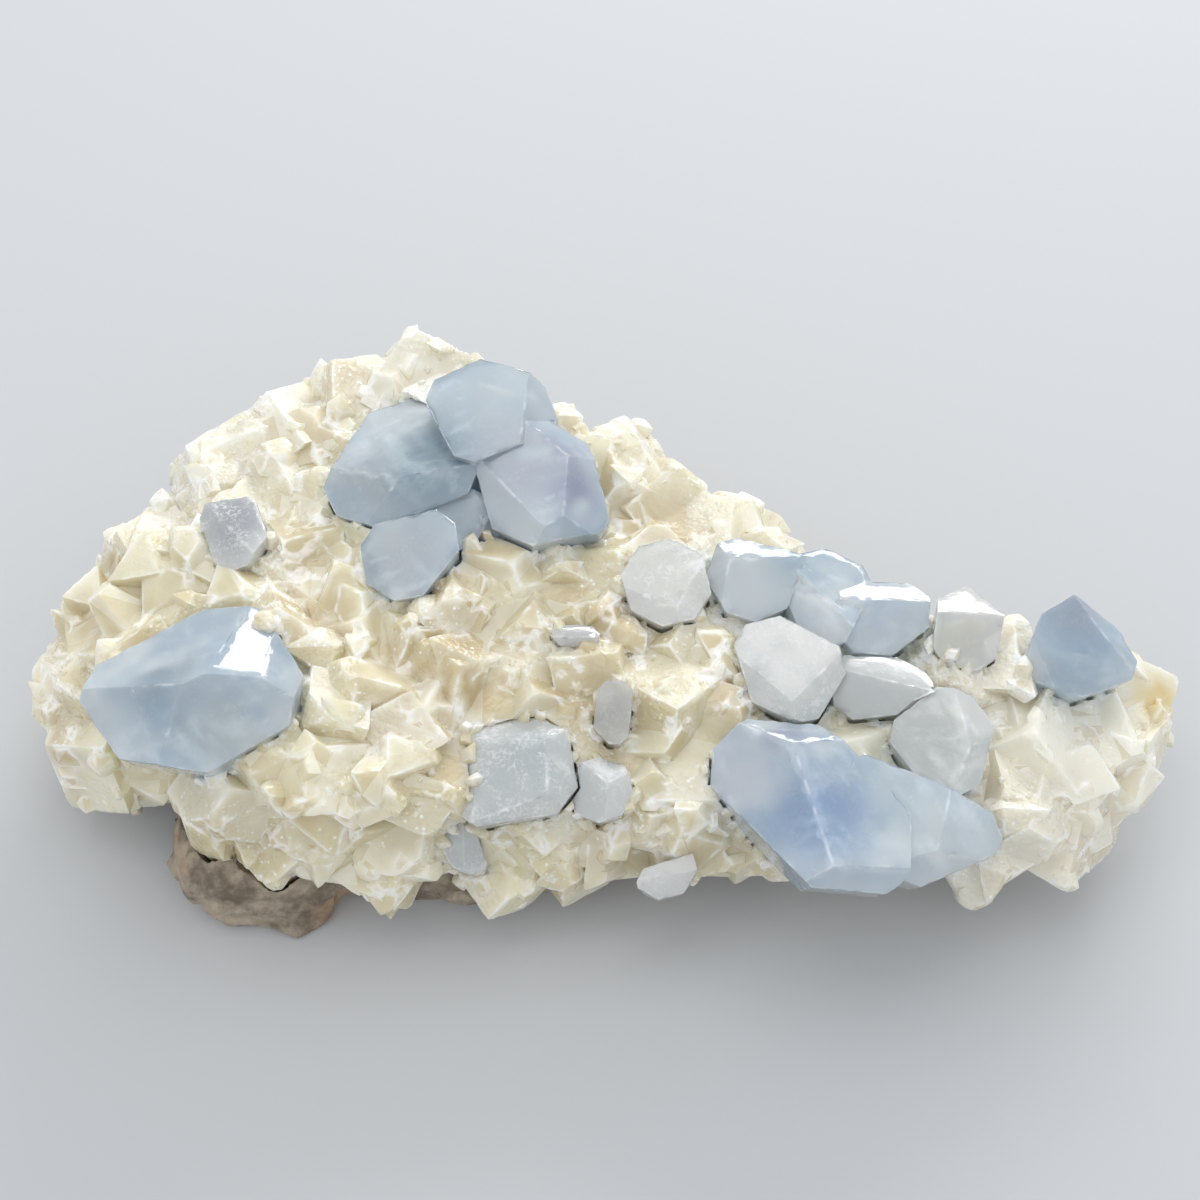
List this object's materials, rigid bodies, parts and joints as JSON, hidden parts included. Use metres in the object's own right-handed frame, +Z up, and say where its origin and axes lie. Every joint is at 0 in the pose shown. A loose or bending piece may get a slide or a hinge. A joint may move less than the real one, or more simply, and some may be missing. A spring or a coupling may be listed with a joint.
{
  "type": "celestite crystal cluster",
  "caption": "Pale blue and clear celestite crystals on a crust of cream calcite crystals, on a lump of brown host rock that it rests on.",
  "frame": {"origin": "centre of the specimen's bounding box in plan, at the height of the surface it stands on", "axes": "+X along the length towards the blue crystal at the tapering end, -Y towards the front where the crystals are seen best, +Z up"},
  "size_m": [0.1996, 0.1098, 0.0569],
  "materials": {
    "matrix_rock": "rough brown-grey rock with a few coppery glints",
    "calcite": "waxy cream to pale yellow, translucent, with whiter edges",
    "celestite_blue": "glossy translucent pale blue with cloudy bands",
    "celestite_clear": "glossy nearly clear, faintly grey-blue",
    "celestite_frosted": "frosted translucent grey-white"
  },
  "bodies": {
    "root": {"matrix_rock": "matrix_rock", "calcite_crust": "calcite", "celestite_left": "celestite_blue", "celestite_back": "celestite_blue", "celestite_right_back": "celestite_blue", "celestite_right_end": "celestite_blue", "celestite_front_right": "celestite_blue", "celestite_small_left": "celestite_frosted", "celestite_clear_back": "celestite_clear", "celestite_clear_right": "celestite_clear", "celestite_clear_middle": "celestite_clear", "celestite_frosted_right": "celestite_frosted", "celestite_frosted_middle": "celestite_frosted", "celestite_front_middle": "celestite_frosted", "celestite_front_small": "celestite_frosted", "celestite_sliver": "celestite_clear", "celestite_front_low": "celestite_frosted", "celestite_recessed": "celestite_clear", "celestite_low_right": "celestite_frosted"}
  },
  "joints": []
}
